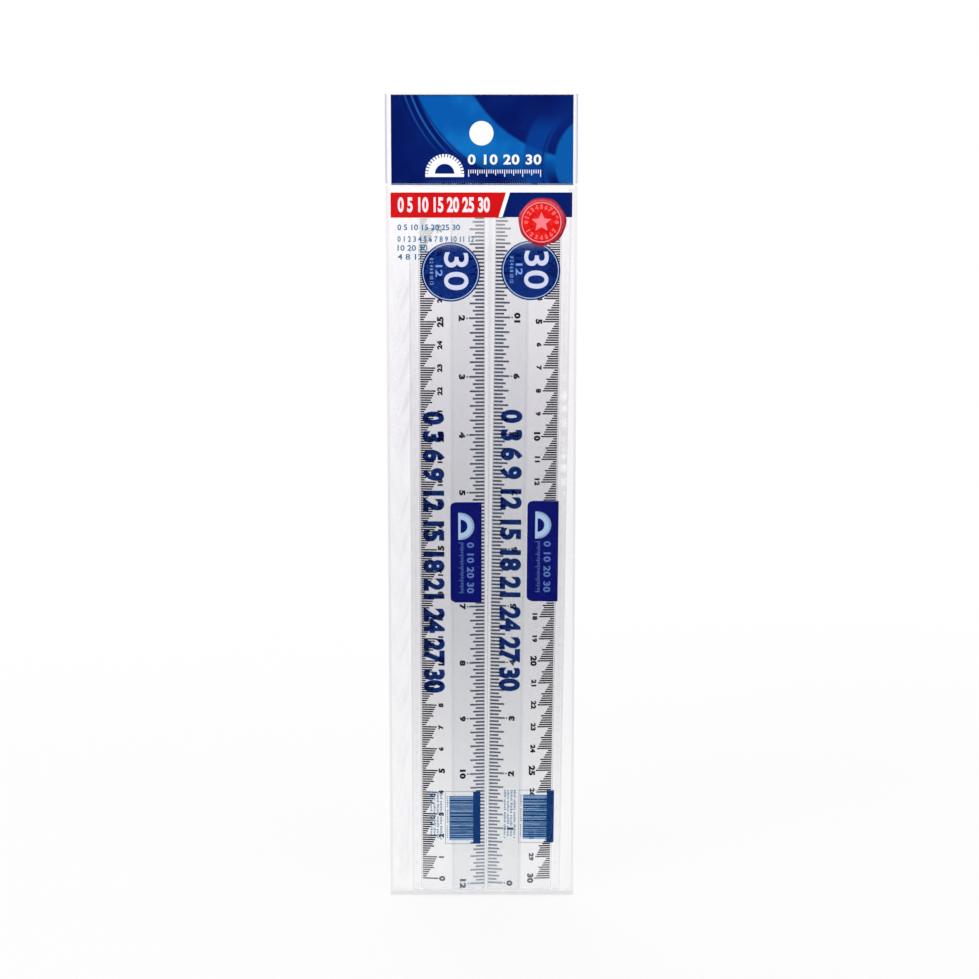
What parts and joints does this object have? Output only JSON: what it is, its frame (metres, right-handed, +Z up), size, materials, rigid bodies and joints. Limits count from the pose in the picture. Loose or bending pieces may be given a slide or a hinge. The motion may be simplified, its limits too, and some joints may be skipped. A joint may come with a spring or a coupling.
{
  "type": "hang pack of two clear rulers",
  "caption": "Clear film header bag with a printed header and hang hole, holding two clear 30 cm rulers side by side, each in its own clear sleeve.",
  "frame": {"origin": "centre of the round hang hole, halfway through the header's two plies", "axes": "+Z up as the pack hangs, +X to the reader's right, -Y towards the reader; +Y along the hang hole's axis, the way the peg leaves"},
  "size_m": [0.0824, 0.0037, 0.3555],
  "materials": {
    "header_print": "glossy film, reverse-printed in navy and lighter blues",
    "header_white": "opaque white film",
    "bag_film": "clear glossy film with soft wrinkles, printed with a banner and a seal",
    "sleeve_film": "clear glossy film, printed with a badge, a tab and blue blocks",
    "clear_ruler": "clear moulded polystyrene, polished",
    "scale_print": "black transfer print on the bevels"
  },
  "bodies": {
    "pouch": {"bag_front_film": "bag_film", "bag_back_film": "bag_film", "bag_left_weld": "bag_film", "bag_right_weld": "bag_film", "bag_bottom_weld": "bag_film"},
    "header": {"header_front_film": "header_print", "header_back_film": "header_white", "header_seam": "header_print"},
    "left_sleeve": {"left_sleeve_front_film": "sleeve_film", "left_sleeve_back_film": "sleeve_film", "left_sleeve_side_weld": "sleeve_film", "left_sleeve_foot_weld": "sleeve_film"},
    "right_sleeve": {"right_sleeve_front_film": "sleeve_film", "right_sleeve_back_film": "sleeve_film", "right_sleeve_side_weld": "sleeve_film", "right_sleeve_foot_weld": "sleeve_film"},
    "left_ruler": {"left_ruler_blade": "clear_ruler", "left_ruler_cm_scale": "scale_print", "left_ruler_inch_scale": "scale_print"},
    "right_ruler": {"right_ruler_blade": "clear_ruler", "right_ruler_cm_scale": "scale_print", "right_ruler_inch_scale": "scale_print"}
  },
  "joints": [
    {"name": "header_fold", "type": "hinge", "parent": "pouch", "child": "header", "pos_m": [0, 0.00022, -0.022], "axis": [-1, 0, 0], "range_deg": [0, 170]},
    {"name": "left_sleeve_slide", "type": "slide", "parent": "pouch", "child": "left_sleeve", "axis": [0, 0, 1], "range_m": [0, 0.3]},
    {"name": "right_sleeve_slide", "type": "slide", "parent": "pouch", "child": "right_sleeve", "axis": [0.0122, 0, 0.9999], "range_m": [0, 0.3]},
    {"name": "left_ruler_slide", "type": "slide", "parent": "left_sleeve", "child": "left_ruler", "axis": [0, 0, 1], "range_m": [0, 0.3]},
    {"name": "right_ruler_slide", "type": "slide", "parent": "right_sleeve", "child": "right_ruler", "axis": [0.0122, 0, 0.9999], "range_m": [0, 0.3]}
  ]
}
